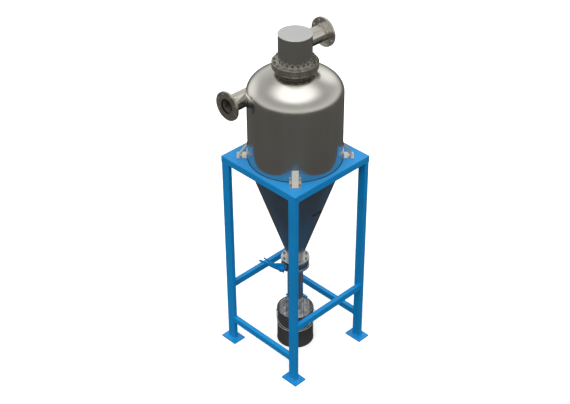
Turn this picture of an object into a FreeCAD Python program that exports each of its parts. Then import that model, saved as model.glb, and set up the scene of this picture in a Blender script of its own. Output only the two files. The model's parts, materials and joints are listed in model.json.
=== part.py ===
import FreeCAD, Part
import math
import os
from FreeCAD import Vector, Rotation

# Cyclone separator on a four-legged frame, with a dust outlet valve and a dust pail.
# Millimetres, +Z up. The origin is on the vessel's axis, at floor level.
# +Y is the side the clean gas outlet points to, and the inlet faces -Y.

# ---- frame ----
frame_top = 1967.0         # top face of the deck plate
leg_x = 80.0
leg_y = 40.0
leg_wall = 4.0
foot_edge_x = 45.0         # foot plate beyond the leg, each side
foot_edge_y = 42.5
foot_t = 12.0
deck_t = 12.0
deck_overhang = 1.5        # deck and rails stand this proud of the legs
rail_h = 50.0
rail_w = 30.0
rail_wall = 3.0
rail_gap = 9.5             # between the vessel and the rails' inner faces
brace_h = 60.0
brace_w = 40.0
brace_wall = 3.0
brace_front_z = 208.0      # undersides of the cross tubes
brace_rear_z = 234.0
brace_side_z = 564.0

# ---- vessel ----
vessel_r = 392.0
shell_t = 4.0
deck_gap = 3.0             # annular gap between vessel and deck
cylinder_drop = 52.0       # the cylinder reaches this far below the deck's top
cylinder_h = 664.0
head_depth = 200.0
cone_h = 965.0
cone_stub = 24.0           # straight end below the taper
neck_r = 136.5
neck_wall = 4.0

# ---- lugs that carry the vessel on the deck ----
lug_reach = 88.0
lug_w = 95.0
lug_t = 8.0
lug_upstand = 45.0
strap_w = 53.0
strap_t = 6.0
strap_rise = 112.0
strap_inset = 8.0
lug_bolt_r = 9.0
lug_bolt_reach = 56.0
lug_bolt_half = 37.0
lug_trim = 20.0            # the lug is drawn this far into the vessel and trimmed by it
strap_trim = 12.0

# ---- flanged pipes, all one size ----
pipe_r = 69.85
pipe_wall = 4.0
flange_t = 18.0
flange_pcd_r = 105.0
flange_edge = 20.0         # plate beyond the bolt circle
flange_holes = 8
flange_hole_r = 9.0
flange_chamfer = 1.5
inlet_drop = 87.0          # inlet axis below the cylinder's top
inlet_reach = 60.0         # inlet flange face beyond the vessel's wall, along -Y
inlet_clear = 6.0          # between the inlet bore and the vessel's inner wall
outlet_drop = 96.0         # outlet axis below the chamber's top
outlet_reach = 186.5       # outlet flange face beyond the chamber's wall, along +Y

# ---- top flanges and outlet chamber ----
top_flange_t = 24.0
top_flange_pcd_gap = 31.0  # bolt circle outside the neck's wall
top_flange_edge = 20.5
top_flange_holes = 16
top_flange_hole_r = 9.0
neck_rise = 25.0           # from the head's top to the underside of the flange pair
chamber_h = 232.0
lid_t = 6.0

# ---- bottom flange pair and butterfly valve ----
cone_flange_t = 22.0
valve_len = 52.0
valve_edge = 12.0          # valve ring beyond the bolt circle
valve_bore_r = 62.5
disc_gap = 2.5
disc_t = 10.0
disc_hub_r = 14.0
stem_r = 9.0
stem_gap = 0.05
boss_r = 20.0
boss_reach = 13.0          # beyond the valve ring
pad_half = 35.0
pad_t = 10.0
pad_corner = 8.75
notch_r = 52.0
notch_t = 6.0
notch_core_r = 32.0
notch_past = 6.0           # the notched quarter reaches this far past the stem's axes
notch_steps = 10           # one notch each 10 degrees
notch_depth = 7.0
notch_half = 2.2
stem_reach = 56.0          # beyond the pad
stem_tail = 80.0
drop_gap = 140.0           # from the pail's rim up to the drop pipe

# ---- lever ----
hub_r = 24.0
lever_gap = 5.0            # between the notch plate and the lever or latch
hub_len = 39.0
fan_half = 50.0
fan_crown = 43.0           # half height where the fan leaves the hub
fan_heel = 12.0            # the fan reaches this far past the stem's axis
fan_slant = 20.0           # degrees in plan, away from the valve
fan_t = 6.0
fan_tail_x = 152.0
fan_tail_run = 128.25      # the tail is as far out as the slant would be here
fan_low_x = 123.5
fan_low = 27.0
arm_h = 18.0
arm_t = 9.0
arm_tip_r = 8.0
knee_x = 95.0
knee_out = 44.0            # outward from the notch plate's face
arm_tip_x = 219.0
arm_tip_out = 79.0
latch_x = 40.0
latch_out = 11.0
latch_t = 4.0
latch_h = 14.0
latch_knee_x = 95.0
latch_knee_out = 26.0
latch_tip_out = 26.0
latch_tip_r = 6.0
latch_pin_r = 3.0
latch_eye_r = 6.0
latch_gap = 0.05
tooth_x = 58.0
tooth_t = 4.0
tooth_h = 12.0
ear_t = 4.0
ear_half = 9.0

# ---- dust pail ----
pail_r = 163.5
pail_h = 345.0
pail_t = 2.0
rim_r = 3.0
hoop_r = 3.0
hoop_z = 192.0
ear_drop = 27.0            # the bail's ears below the rim
ear_pad_r = 12.0
ear_boss_r = 7.0
ear_pad_t = 2.0
ear_pad_in = 1.6           # into the pail's wall, not through it
wire_r = 2.5
wire_gap = 0.05
bail_room = 7.5            # between the pail's wall and the bail's wire axis
bail_arm = 31.0
bail_rest_gap = 0.5

os.makedirs("parts", exist_ok=True)

UP = Vector(0, 0, 1)
ORIGIN = Vector(0, 0, 0)


def box(x0, x1, y0, y1, z0, z1):
    return Part.makeBox(x1 - x0, y1 - y0, z1 - z0, Vector(x0, y0, z0))


def rod(r, p, q):
    a = Vector(*p)
    b = Vector(*q)
    return Part.makeCylinder(r, (b - a).Length, a, b - a)


def pipe(r_out, r_in, p, q):
    return rod(r_out, p, q).cut(rod(r_in, p, q))


def prism(points, direction):
    wire = Part.makePolygon([Vector(*p) for p in points + points[:1]])
    return Part.Face(wire).extrude(Vector(*direction))


def turned(points):
    wire = Part.makePolygon([Vector(r, 0, z) for r, z in points + points[:1]])
    return Part.Face(wire).revolve(ORIGIN, UP, 360)


def about_z(shape, degrees):
    out = shape.copy()
    out.rotate(ORIGIN, UP, degrees)
    return out


def save(name, shape):
    shape = shape.removeSplitter()
    if shape.ShapeType != "Solid" and len(shape.Solids) == 1:
        shape = shape.Solids[0]
    if not shape.isValid() or len(shape.Solids) != 1:
        raise ValueError(name + " is not one valid solid")
    shape.exportStep("parts/" + name + ".step")


def ring_of_holes(centre, axis, pcd_r, count, r, length):
    # Holes that straddle the main axes, centred on a face and cut both ways.
    turn = Rotation(UP, Vector(*axis))
    holes = []
    for k in range(count):
        a = 2 * math.pi * (k + 0.5) / count
        at = turn.multVec(Vector(pcd_r * math.cos(a), pcd_r * math.sin(a), -length))
        holes.append(Part.makeCylinder(r, 2 * length, Vector(*centre) + at, Vector(*axis)))
    return holes


def flange(face, axis, r, t, bore, pcd_r, count, hole_r):
    # A plate flange whose joint face is at face, looking along axis.
    out = Vector(*axis)
    back = Vector(*face) - out * t
    disc = Part.makeCylinder(r, t, back, out)
    disc = disc.cut(Part.makeCylinder(bore, t, back, out))
    edge = [e for e in disc.Edges if abs(e.Length - 2 * math.pi * r) < 0.5]
    disc = disc.makeChamfer(flange_chamfer, edge)
    return disc.cut(ring_of_holes(face, axis, pcd_r, count, hole_r, 2 * t))


# ---- derived sizes ----
deck_half = vessel_r + rail_gap + rail_w
frame_half = deck_half - deck_overhang
leg_cx = frame_half - leg_x / 2
leg_cy = frame_half - leg_y / 2
foot_x = leg_x + 2 * foot_edge_x
foot_y = leg_y + 2 * foot_edge_y
rail_top = frame_top - deck_t
leg_top = rail_top - rail_h
cone_top_z = frame_top - cylinder_drop
cone_foot_z = cone_top_z - cone_h
head_z = cone_top_z + cylinder_h
head_top = head_z + head_depth
bore_r = pipe_r - pipe_wall
flange_r = flange_pcd_r + flange_edge
neck_bore = neck_r - neck_wall
neck_flange_z = head_top + neck_rise
pair_z = neck_flange_z + top_flange_t
chamber_z = pair_z + top_flange_t
lid_z = chamber_z + chamber_h
top_flange_pcd_r = neck_r + top_flange_pcd_gap
top_flange_r = top_flange_pcd_r + top_flange_edge
inlet_x = -(vessel_r - shell_t - inlet_clear - bore_r)
inlet_z = head_z - inlet_drop
inlet_face = vessel_r + inlet_reach
outlet_z = lid_z - outlet_drop
outlet_face = neck_r + outlet_reach
drop_end_z = pail_h + drop_gap


# ---- frame pieces ----
sides = {"front_left": (-1, -1), "front_right": (1, -1), "rear_left": (-1, 1), "rear_right": (1, 1)}
for name, (sx, sy) in sides.items():
    cx = sx * leg_cx
    cy = sy * leg_cy
    outer = box(cx - leg_x / 2, cx + leg_x / 2, cy - leg_y / 2, cy + leg_y / 2, foot_t, leg_top)
    tall = [e for e in outer.Edges if abs(e.Length - (leg_top - foot_t)) < 0.01]
    outer = outer.makeFillet(leg_wall, tall)
    w = leg_wall
    inner = box(cx - leg_x / 2 + w, cx + leg_x / 2 - w, cy - leg_y / 2 + w, cy + leg_y / 2 - w,
                foot_t, leg_top)
    save("leg_" + name, outer.cut(inner))
    foot = box(cx - foot_x / 2, cx + foot_x / 2, cy - foot_y / 2, cy + foot_y / 2, 0, foot_t)
    save("foot_plate_" + name, foot)


def tube_x(x0, x1, yc, w, z0, h, wall):
    # Rectangular hollow section along X.
    outer = box(x0, x1, yc - w / 2, yc + w / 2, z0, z0 + h)
    long_edges = [e for e in outer.Edges if abs(e.Length - (x1 - x0)) < 0.01]
    outer = outer.makeFillet(wall, long_edges)
    return outer.cut(box(x0, x1, yc - w / 2 + wall, yc + w / 2 - wall, z0 + wall, z0 + h - wall))


def tube_y(y0, y1, xc, w, z0, h, wall):
    # The same along Y.
    return about_z(tube_x(y0, y1, -xc, w, z0, h, wall), 90)


rail_c = deck_half - rail_w / 2
save("top_rail_front", tube_x(-deck_half, deck_half, -rail_c, rail_w, leg_top, rail_h, rail_wall))
save("top_rail_rear", tube_x(-deck_half, deck_half, rail_c, rail_w, leg_top, rail_h, rail_wall))
rail_end = deck_half - rail_w
save("top_rail_left", tube_y(-rail_end, rail_end, -rail_c, rail_w, leg_top, rail_h, rail_wall))
save("top_rail_right", tube_y(-rail_end, rail_end, rail_c, rail_w, leg_top, rail_h, rail_wall))

span_x = frame_half - leg_x
span_y = frame_half - leg_y
brace_c = frame_half - brace_w / 2
save("brace_front", tube_x(-span_x, span_x, -brace_c, brace_w, brace_front_z, brace_h, brace_wall))
save("brace_rear", tube_x(-span_x, span_x, brace_c, brace_w, brace_rear_z, brace_h, brace_wall))
save("brace_left", tube_y(-span_y, span_y, -brace_c, brace_w, brace_side_z, brace_h, brace_wall))
save("brace_right", tube_y(-span_y, span_y, brace_c, brace_w, brace_side_z, brace_h, brace_wall))


# ---- lugs and the deck that they stand on ----
lug_angles = {"front_left": 225, "front_right": 315, "rear_left": 135, "rear_right": 45}
lug_out = vessel_r + lug_reach
vessel_core = rod(vessel_r, (0, 0, rail_top), (0, 0, frame_top + 2 * strap_rise))
inner = vessel_r - lug_trim
foot_z = frame_top + lug_t
base = box(inner, lug_out, -lug_w / 2, lug_w / 2, frame_top, foot_z)
upstand = box(inner, vessel_r + lug_t, -lug_w / 2, lug_w / 2, frame_top, frame_top + lug_upstand)
low = lug_out - strap_inset
run = low - vessel_r
# The strap's top line is carried on past the vessel's wall and trimmed by it.
past = (run + strap_trim) / run
rise = strap_rise * past
strap_end = vessel_r - strap_trim
strap = prism([(low, -strap_w / 2, foot_z), (strap_end, -strap_w / 2, foot_z + rise),
               (strap_end, -strap_w / 2, foot_z + rise - 2 * strap_t),
               (low - 1.4 * strap_t, -strap_w / 2, foot_z)], (0, strap_w, 0))
lug = base.fuse(upstand).fuse(strap).cut(vessel_core)
lug_bolts = []
for side in (-1, 1):
    at = Vector(vessel_r + lug_bolt_reach, side * lug_bolt_half, frame_top - deck_t)
    lug_bolts.append(Part.makeCylinder(lug_bolt_r, deck_t + 2 * lug_t, at, UP))
lug = lug.cut(lug_bolts)
for name, angle in lug_angles.items():
    save("support_lug_" + name, about_z(lug, angle))

deck = box(-deck_half, deck_half, -deck_half, deck_half, rail_top, frame_top)
deck = deck.cut(rod(vessel_r + deck_gap, (0, 0, rail_top), (0, 0, frame_top)))
for angle in lug_angles.values():
    deck = deck.cut([about_z(b, angle) for b in lug_bolts])
save("top_plate", deck)


# ---- vessel ----
cylinder = pipe(vessel_r, vessel_r - shell_t, (0, 0, cone_top_z), (0, 0, head_z))
cylinder = cylinder.cut(rod(bore_r, (inlet_x, -vessel_r, inlet_z), (inlet_x, 0, inlet_z)))
save("vessel_cylinder", cylinder)


def half_ellipsoid(r, depth, z):
    curve = Part.Ellipse(ORIGIN, r, depth).toShape(0, math.pi / 2)
    edges = [curve, Part.makeLine(Vector(0, depth, 0), ORIGIN), Part.makeLine(ORIGIN, Vector(r, 0, 0))]
    face = Part.Face(Part.Wire(edges))
    face.rotate(ORIGIN, Vector(1, 0, 0), 90)
    solid = face.revolve(ORIGIN, UP, 360)
    solid.translate(Vector(0, 0, z))
    return solid


head_outside = half_ellipsoid(vessel_r, head_depth, head_z)
head_inside = half_ellipsoid(vessel_r - shell_t, head_depth - shell_t, head_z)
head = head_outside.cut(head_inside).cut(rod(neck_bore, (0, 0, head_z), (0, 0, head_top + 10)))
save("vessel_head", head)

cone_flange_z = cone_foot_z - cone_stub
slope = math.atan2(vessel_r - pipe_r, cone_top_z - cone_foot_z)
skin = shell_t / math.cos(slope)
cone = turned([(vessel_r - skin, cone_top_z), (vessel_r, cone_top_z), (pipe_r, cone_foot_z),
               (pipe_r, cone_flange_z), (bore_r, cone_flange_z),
               (bore_r, cone_foot_z + (bore_r + skin - pipe_r) / math.tan(slope))])
save("vessel_cone", cone)

neck = pipe(neck_r, neck_bore, (0, 0, head_z + head_depth / 2), (0, 0, neck_flange_z)).cut(head_outside)
save("outlet_neck", neck)
save("neck_flange", flange((0, 0, pair_z), (0, 0, 1), top_flange_r, top_flange_t, neck_bore,
                           top_flange_pcd_r, top_flange_holes, top_flange_hole_r))
save("chamber_flange", flange((0, 0, pair_z), (0, 0, -1), top_flange_r, top_flange_t, neck_bore,
                              top_flange_pcd_r, top_flange_holes, top_flange_hole_r))

chamber = pipe(neck_r, neck_bore, (0, 0, chamber_z), (0, 0, lid_z))
chamber = chamber.cut(rod(bore_r, (0, 0, outlet_z), (0, neck_r + 10, outlet_z)))
save("outlet_chamber", chamber)
save("chamber_lid", rod(neck_r, (0, 0, lid_z), (0, 0, lid_z + lid_t)))

outlet_back = outlet_face - flange_t
outlet = pipe(pipe_r, bore_r, (0, 0, outlet_z), (0, outlet_back, outlet_z))
outlet = outlet.cut(rod(neck_r, (0, 0, chamber_z), (0, 0, lid_z + lid_t)))
save("outlet_pipe", outlet)
save("outlet_flange", flange((0, outlet_face, outlet_z), (0, 1, 0), flange_r, flange_t, bore_r,
                             flange_pcd_r, flange_holes, flange_hole_r))

inlet_back = inlet_face - flange_t
inlet = pipe(pipe_r, bore_r, (inlet_x, -inlet_back, inlet_z), (inlet_x, 0, inlet_z))
inlet = inlet.cut(rod(vessel_r, (0, 0, cone_top_z), (0, 0, head_z)))
save("inlet_pipe", inlet)
save("inlet_flange", flange((inlet_x, -inlet_face, inlet_z), (0, -1, 0), flange_r, flange_t, bore_r,
                            flange_pcd_r, flange_holes, flange_hole_r))


# ---- bottom flanges, valve and drop pipe ----
valve_top = cone_flange_z - cone_flange_t
valve_z = valve_top - valve_len / 2
valve_foot = valve_top - valve_len
save("cone_flange", flange((0, 0, valve_top), (0, 0, -1), flange_r, cone_flange_t, bore_r,
                           flange_pcd_r, flange_holes, flange_hole_r))
save("lower_flange", flange((0, 0, valve_foot), (0, 0, 1), flange_r, cone_flange_t, bore_r,
                            flange_pcd_r, flange_holes, flange_hole_r))
drop_top = valve_foot - cone_flange_t
save("drop_pipe", pipe(pipe_r, bore_r, (0, 0, drop_end_z), (0, 0, drop_top)))

valve_ring_r = flange_pcd_r + valve_edge
boss_end = valve_ring_r + boss_reach
ring = rod(valve_ring_r, (0, 0, valve_foot), (0, 0, valve_top))
boss = rod(boss_r, (0, 0, valve_z), (0, -boss_end, valve_z))
pad_end = boss_end + pad_t
pad = box(-pad_half, pad_half, -pad_end, -boss_end, valve_z - pad_half, valve_z + pad_half)
upright = [e for e in pad.Edges if abs(e.Length - pad_t) < 0.01]
pad = pad.makeFillet(pad_corner, upright)
body = ring.fuse(boss).fuse(pad)
body = body.cut(ring_of_holes((0, 0, valve_z), (0, 0, 1), flange_pcd_r, flange_holes, flange_hole_r,
                              valve_len))
body = body.cut(rod(valve_bore_r, (0, 0, valve_foot), (0, 0, valve_top)))
stem_hole = stem_r + stem_gap
body = body.cut(rod(stem_hole, (0, -pad_end, valve_z), (0, stem_tail + 5, valve_z)))
save("valve_body", body)

notch_end = pad_end + notch_t
plate = rod(notch_r, (0, -pad_end, valve_z), (0, -notch_end, valve_z))
quarter = box(-notch_r, notch_past, -notch_end, -pad_end, valve_z - notch_r, valve_z + notch_past)
plate = plate.common(quarter).fuse(rod(notch_core_r, (0, -pad_end, valve_z), (0, -notch_end, valve_z)))
plate = plate.cut(rod(stem_hole, (0, -pad_end, valve_z), (0, -notch_end, valve_z)))
for k in range(notch_steps):
    slot = box(notch_r - notch_depth, notch_r + notch_depth, -notch_end, -pad_end, -notch_half, notch_half)
    slot.rotate(ORIGIN, Vector(0, -1, 0), 180 + 10 * k)
    slot.translate(Vector(0, 0, valve_z))
    plate = plate.cut(slot)
save("notch_plate", plate)

stem_end = pad_end + stem_reach
save("valve_stem", rod(stem_r, (0, -stem_end, valve_z), (0, stem_tail, valve_z)))
disc_r = valve_bore_r - disc_gap
disc = rod(disc_r, (0, 0, valve_z - disc_t / 2), (0, 0, valve_z + disc_t / 2))
hub_half = math.sqrt(disc_r ** 2 - disc_hub_r ** 2) - 2
disc = disc.fuse(rod(disc_hub_r, (0, -hub_half, valve_z), (0, hub_half, valve_z)))
disc = disc.cut(rod(stem_hole, (0, -disc_r, valve_z), (0, disc_r, valve_z)))
save("valve_disc", disc)


# ---- lever, closed: it points along -X; it opens by swinging down ----
face_y = notch_end + lever_gap
hub = rod(hub_r, (0, -face_y - hub_len, valve_z), (0, -face_y, valve_z))
lean = math.tan(math.radians(fan_slant))
far_x = knee_x + arm_tip_x
outline = prism([(fan_heel, 0, valve_z - fan_half), (fan_heel, 0, valve_z + fan_half),
                 (-hub_r, 0, valve_z + fan_crown), (-knee_x, 0, valve_z + arm_h),
                 (-fan_tail_x, 0, valve_z + arm_h / 2), (-fan_tail_x, 0, valve_z - arm_h / 2),
                 (-fan_low_x, 0, valve_z - fan_low)], (0, -far_x, 0))
fan_y = -face_y - fan_t / 2
slab = prism([(fan_heel, fan_y - fan_t / 2, valve_z - fan_half),
              (fan_heel, fan_y + fan_t / 2, valve_z - fan_half),
              (0, fan_y + fan_t / 2, valve_z - fan_half),
              (-knee_x, fan_y + fan_t / 2 - knee_x * lean, valve_z - fan_half),
              (-fan_tail_x, fan_y + fan_t / 2 - fan_tail_run * lean, valve_z - fan_half),
              (-fan_tail_x, fan_y - fan_t / 2 - fan_tail_run * lean, valve_z - fan_half),
              (-knee_x, fan_y - fan_t / 2 - knee_x * lean, valve_z - fan_half),
              (0, fan_y - fan_t / 2, valve_z - fan_half)], (0, 0, 2 * fan_half))
fan = slab.common(outline)
half = arm_t / 2
az = valve_z - arm_h / 2
knee_y = notch_end + knee_out
arm_tip_y = notch_end + arm_tip_out
arm = prism([(-hub_r, fan_y - hub_r * lean - half, az), (-knee_x, -knee_y - half, az),
             (-arm_tip_x, -arm_tip_y - half, az), (-arm_tip_x, -arm_tip_y + half, az),
             (-knee_x, -knee_y + half, az), (-hub_r, fan_y - hub_r * lean + half, az)], (0, 0, arm_h))
tip = [e for e in arm.Edges if e.BoundBox.XMax < -arm_tip_x + 0.01 and e.BoundBox.ZLength < 0.01]
arm = arm.makeFillet(arm_tip_r, tip)
gap_z = latch_h / 2 + 2
latch_y = notch_end + latch_out
lever = hub.fuse(fan).fuse(arm)
for side in (-1, 1):
    z0 = valve_z + side * (gap_z + ear_t / 2) - ear_t / 2
    lever = lever.fuse(box(-latch_x - ear_half, -latch_x + ear_half, fan_y - latch_x * lean, -face_y,
                           z0, z0 + ear_t))
latch_pin = rod(latch_pin_r, (-latch_x, -latch_y, valve_z - gap_z - ear_t),
                (-latch_x, -latch_y, valve_z + gap_z + ear_t))
lever = lever.fuse(latch_pin)
lever = lever.cut(rod(stem_hole, (0, -stem_end, valve_z), (0, -notch_end, valve_z)))
save("valve_lever", lever)

lz = valve_z - latch_h / 2
lt = latch_t / 2
latch_knee_y = notch_end + latch_knee_out
latch_tip_y = notch_end + latch_tip_out
strip = prism([(-latch_x, -latch_y - lt, lz), (-latch_knee_x, -latch_knee_y - lt, lz),
               (-arm_tip_x, -latch_tip_y - lt, lz), (-arm_tip_x, -latch_tip_y + lt, lz),
               (-latch_knee_x, -latch_knee_y + lt, lz), (-latch_x, -latch_y + lt, lz)], (0, 0, latch_h))
tip = [e for e in strip.Edges if e.BoundBox.XMax < -arm_tip_x + 0.01 and e.BoundBox.ZLength < 0.01]
strip = strip.makeFillet(latch_tip_r, tip)
eye = rod(latch_eye_r, (-latch_x, -latch_y, lz), (-latch_x, -latch_y, lz + latch_h))
tooth = box(-tooth_x - tooth_t / 2, -tooth_x + tooth_t / 2, -latch_y - latch_eye_r, -face_y,
            valve_z - tooth_h / 2, valve_z + tooth_h / 2)
latch = strip.fuse(eye).fuse(tooth)
latch = latch.cut(rod(latch_pin_r + latch_gap, (-latch_x, -latch_y, lz), (-latch_x, -latch_y, lz + latch_h)))
save("lever_latch", latch)


# ---- dust pail and its bail; the bail's pivots lie on the diagonal through +X +Y ----
ear_z = pail_h - ear_drop
bail_r = pail_r + bail_room
pail = rod(pail_r, (0, 0, 0), (0, 0, pail_h)).cut(rod(pail_r - pail_t, (0, 0, pail_t), (0, 0, pail_h)))
pail = pail.fuse(Part.makeTorus(pail_r - pail_t / 2, rim_r, Vector(0, 0, pail_h)))
hoop = Part.makeTorus(pail_r - pail_t / 2, hoop_r, Vector(0, 0, hoop_z))
hoop = hoop.cut(rod(pail_r - pail_t, (0, 0, hoop_z - 10), (0, 0, hoop_z + 10)))
pail = pail.fuse(hoop)
boss_out = bail_r - wire_r - 1
pin_in = pail_r + 1
for side in (-1, 1):
    ear = rod(ear_pad_r, (side * (pail_r - ear_pad_in), 0, ear_z), (side * (pail_r + ear_pad_t), 0, ear_z))
    ear = ear.fuse(rod(ear_boss_r, (side * (pail_r - 1), 0, ear_z), (side * boss_out, 0, ear_z)))
    pail = pail.fuse(ear)
for side in (-1, 1):
    pail = pail.cut(rod(wire_r + wire_gap, (side * pin_in, 0, ear_z), (side * (boss_out + 5), 0, ear_z)))
save("pail_body", about_z(pail, 45))

rest_r = pail_r + rim_r - pail_t / 2 + wire_r + bail_rest_gap
droop = math.degrees(math.acos(rest_r / (bail_arm + bail_r)))
bail = Part.makeTorus(bail_r, wire_r, Vector(0, -bail_arm, 0), UP, 0, 360, 180)
bail.rotate(Vector(0, -bail_arm, 0), UP, 180)
for side in (-1, 1):
    bail = bail.fuse(rod(wire_r, (side * bail_r, -bail_arm, 0), (side * bail_r, 0, 0)))
    bail = bail.fuse(Part.makeSphere(wire_r, Vector(side * bail_r, 0, 0)))
    bail = bail.fuse(rod(wire_r, (side * bail_r, 0, 0), (side * (pin_in + 0.5), 0, 0)))
bail.rotate(ORIGIN, Vector(1, 0, 0), droop)
bail.translate(Vector(0, 0, ear_z))
save("pail_bail", about_z(bail, 45))
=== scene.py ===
"""Looks for a cyclone separator on a leg frame: studio, materials, fasteners, welds and trim.

Metres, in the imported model's frame: +Z up, origin on the vessel's axis at floor level.
"""
import json
import math

import bmesh
import bpy
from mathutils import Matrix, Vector


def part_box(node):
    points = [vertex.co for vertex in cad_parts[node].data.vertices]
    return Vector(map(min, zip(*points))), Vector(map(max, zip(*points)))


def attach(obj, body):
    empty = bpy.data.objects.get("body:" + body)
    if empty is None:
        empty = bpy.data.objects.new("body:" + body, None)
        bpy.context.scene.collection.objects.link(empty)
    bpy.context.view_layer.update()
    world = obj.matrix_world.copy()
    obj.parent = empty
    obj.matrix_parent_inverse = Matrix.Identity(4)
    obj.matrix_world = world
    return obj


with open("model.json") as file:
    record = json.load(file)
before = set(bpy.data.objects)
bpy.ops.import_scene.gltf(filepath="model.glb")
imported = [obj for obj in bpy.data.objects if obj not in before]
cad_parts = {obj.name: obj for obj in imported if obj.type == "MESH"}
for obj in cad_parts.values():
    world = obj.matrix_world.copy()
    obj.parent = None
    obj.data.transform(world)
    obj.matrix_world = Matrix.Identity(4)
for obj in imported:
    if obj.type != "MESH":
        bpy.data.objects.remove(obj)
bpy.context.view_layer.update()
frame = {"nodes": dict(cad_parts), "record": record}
nodes = frame["nodes"]
scene = bpy.context.scene

UP = Vector((0, 0, 1))
ALONG_X = Vector((1, 0, 0))
ALONG_Y = Vector((0, 1, 0))
CORNERS = (45, 135, 225, 315)      # degrees about the vessel's axis, one for each lug

# ---- camera, sun and floor ----
TARGET = Vector((0, 0, 1.5))
TOWARDS_CAMERA = Vector((1, -1, 1)).normalized()
CAMERA_RANGE = 10.172
CAMERA_LENS = 76.02
CAMERA_SHIFT = -0.018
SUN_STRENGTH = 1.42
SUN_WIDTH = 40             # degrees across, for soft shadows
SUN_WAY = (-0.45, 0.55, -1)
FLOOR_R = 60
FLOOR_DROP = 0.0005        # keeps the floor's face off the foot plates' undersides

# ---- what the metal reflects: a lamp overhead, a pale room, a dark floor ----
# Height of the direction, 0 straight down and 1 straight up, and the colour there.
ROOM = [
    (0.0, (0.045, 0.062, 0.085)), (0.12, (0.06, 0.075, 0.09)), (0.24, (0.12, 0.115, 0.105)),
    (0.43, (0.15, 0.145, 0.13)), (0.50, (0.55, 0.54, 0.51)), (0.58, (0.82, 0.81, 0.77)),
    (0.68, (0.72, 0.71, 0.68)), (0.79, (0.55, 0.55, 0.54)), (0.87, (0.52, 0.51, 0.49)),
    (0.92, (0.85, 0.84, 0.81)), (0.955, (1.65, 1.65, 1.61)), (1.0, (1.85, 1.85, 1.81))]
# Direction, colour, and the half angles in degrees of the whole patch and of its even core.
PATCHES = [
    ((-0.31, 0.85, 0.43), (1.32, 1.31, 1.27), 20, 6),      # soft light, behind to the right
    ((-0.99, -0.12, 0.10), (1.15, 1.14, 1.10), 26, 8),     # soft light, to the left
    ((-1, 1, -1), (0.02, 0.02, 0.02), 25, 14)]             # dark card behind, for the outlines

# ---- fasteners and gasket ----
# Nuts and washers on the flanges' studs, as shares of the stud's diameter.
NUT_H = 0.82
NUT_ACROSS = 1.5
WASHER_R = 0.93
STUD_THREAD = 0.3          # also how far the stud stands out of its nut
WASHER_PLAY = 0.0005       # from the stud to the washer's hole
HEX_FACE = 0.96            # a nut's flat face, as a share of its width across the flats
HEX_SLOPE = 0.55           # its corners' chamfer, down per unit out
HEX_CUT = 0.0002           # and at the middle of each flat
PITCH = 0.002              # thread pitch on studs
THREAD_DEPTH = 0.0007
TIP_CHAMFER = 0.0015
WASHER_T = 0.0025
WASHER_EDGE = 0.0004       # chamfer
TOP_STUD = 0.0155          # diameters
VALVE_STUD = 0.0125
TOP_STUDS = 16
VALVE_STUDS = 8
TOP_PCD_GAP = 0.031        # from the neck's wall to the top flanges' bolt circle
GASKET_T = 0.0024
GASKET_WIDTH = 0.0051
GASKET_INSET = 0.0009      # inside the flanges' edge

# ---- lugs and their bolts ----
LUG_HALF = 0.0475          # half its width
LUG_RISE = 0.045           # its upstand's top, above the deck
LUG_T = 0.008              # its base's thickness
STRAP_HALF = 0.0265        # half the width of the strap over it
STRAP_RISE = 0.120         # the strap's top, above the deck
STRAP_FOOT = 0.080         # the strap's outer end, from the vessel's wall
LUG_BOLT_REACH = 0.056     # its bolts, from the vessel's wall
LUG_BOLT_HALF = 0.037      # and to each side of its middle
LUG_BOLT_R = 0.0059
LUG_BOLT_TAIL = 0.018      # their lower ends, below the deck
LUG_BOLT_LENGTH = 0.022    # from there to inside the deck
LUG_BOLT_THREAD = 0.008
LUG_WASHER_T = 0.002
LUG_WASHER_HOLE = 0.0062
LUG_WASHERS = (0.0098, 0.0120)     # radii, above and below
LUG_NUT_ACROSS = 0.018
LUG_HEAD_H = 0.0075
LUG_NUT_H = 0.010
LUG_NUT_HOLE = 0.0058

# ---- welds and trim ----
BEAD = 0.0032              # weld bead radius
FOOT_BEAD = 0.00224        # lighter, along the strap's foot
STRAP_BEAD = 0.0052        # heavier, along the top of each lug's strap
BEAD_RIPPLE = 0.0026       # length of one ripple
RIPPLE_SHARE = 0.10        # its height, as a share of the bead's radius
NECK_SEAT = 0.001          # the bead round the neck's foot, above the neck's lower end
LID_LIP = 0.002            # the lid's edge starts this far inside the chamber's wall
LID_SWELL = 0.0005         # it stands out this much more than half a circle would
LID_TUCK = 0.0001          # and lies this far inside the plate's faces
CAP_INSET = 0.001          # the rails' end caps, inside the rail's end
CAP_MARGIN = 0.0028        # from the rail's faces to the cap's edge
CAP_DEPTH = 0.004
CAP_EDGE = 0.0008
CAP_FACE = (0.96, 0.97)    # the cap's flat face, as shares of its outline across and up
# A dark strip in the deck's gap round the vessel, painted shade.
SEAL_GAP = 0.0003          # from the vessel's wall
SEAL_WIDTH = 0.0042
SEAL_LIP = 0.0017          # the strip's lip, past the part that fills the gap
SEAL_DROP = 0.006
SEAL_RISE = 0.0012
SEAL_ROUND = 0.0006
CONE_STUB = 0.024          # straight end of the cone above its flange
SLOT_Z = 1.508             # the dark line on the cone
SLOT_HALF = 11.3           # degrees each side of +X
SLOT_R = 0.0075            # radius of its bead

# ---- valve ----
SCREW_AT = 0.0265          # pad screws, across and up from the stem's axis
STEM_PROUD = 0.006         # the stem stands this far out of the lever's hub
PAD_SCREW = (0.0045, 0.003)             # radius and height of the head
PIN_HEAD = (0.005, 0.002)
HUB_WASHER = (0.016, 0.0091, 0.0015)    # radius, hole, thickness
HUB_NUT = (0.026, 0.004, 0.0088)        # across the flats, height, hole
LATCH_PIN = (-0.04, -0.157)             # x and y of the latch's pin
PIN_HALF = 0.013                        # from its middle to the outside of the ears

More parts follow.
